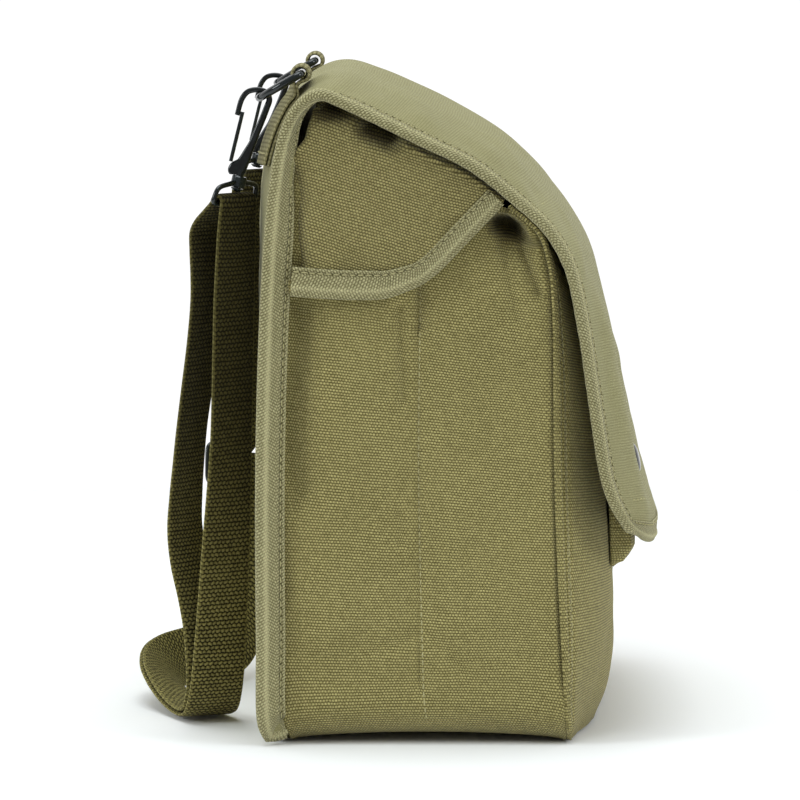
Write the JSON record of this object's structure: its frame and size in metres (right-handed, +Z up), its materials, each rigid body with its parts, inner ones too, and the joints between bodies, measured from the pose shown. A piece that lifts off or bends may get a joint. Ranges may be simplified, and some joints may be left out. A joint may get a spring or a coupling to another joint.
{
  "type": "canvas map case",
  "caption": "Canvas map case standing on its base: closed bound flap over a gusseted body, front pocket, side ears, press snaps and a webbing shoulder strap on swivel snap hooks.",
  "frame": {"origin": "on the floor under the middle of the bag's base", "axes": "+Z up, the flap's front towards -Y, the width along X, the strap behind towards +Y"},
  "size_m": [0.294, 0.2243, 0.2794],
  "materials": {
    "canvas": "coarse woven canvas, washed olive",
    "tape": "herringbone binding tape, paler olive",
    "webbing": "flat woven webbing, dark olive",
    "black_metal": "black enamelled steel, slightly glossy"
  },
  "bodies": {
    "bag": {"back_flap": "canvas", "edge_binding": "tape", "front_panel": "canvas", "gusset": "canvas", "front_pocket": "canvas", "ear_left": "canvas", "ear_right": "canvas", "ear_binding_left": "tape", "ear_binding_right": "tape", "snap_cap_left": "black_metal", "snap_cap_right": "black_metal", "snap_stud_left": "black_metal", "snap_stud_right": "black_metal", "d_ring_tab_left": "webbing", "d_ring_tab_right": "webbing", "d_ring_left": "black_metal", "d_ring_right": "black_metal", "snap_eye_left": "black_metal", "snap_eye_right": "black_metal", "strap": "webbing", "strap_slide": "black_metal"},
    "hook_left": {"snap_hook_left": "black_metal"},
    "hook_right": {"snap_hook_right": "black_metal"},
    "gate_left": {"snap_gate_left": "black_metal"},
    "gate_right": {"snap_gate_right": "black_metal"}
  },
  "joints": [
    {"name": "snap_swivel_left", "type": "hinge", "parent": "bag", "child": "hook_left", "pos_m": [-0.11, 0.0752, 0.2301], "axis": [0, -0.2419, 0.9703], "range_deg": [-25, 25]},
    {"name": "snap_swivel_right", "type": "hinge", "parent": "bag", "child": "hook_right", "pos_m": [0.11, 0.0752, 0.2301], "axis": [0, -0.2419, 0.9703], "range_deg": [-25, 25]},
    {"name": "snap_gate_left", "type": "hinge", "parent": "hook_left", "child": "gate_left", "pos_m": [-0.11, 0.0784, 0.2386], "axis": [1, 0, 0], "range_deg": [0, 14], "stiffness_Nm_per_rad": 0.01},
    {"name": "snap_gate_right", "type": "hinge", "parent": "hook_right", "child": "gate_right", "pos_m": [0.11, 0.0784, 0.2386], "axis": [1, 0, 0], "range_deg": [0, 14], "stiffness_Nm_per_rad": 0.01}
  ]
}
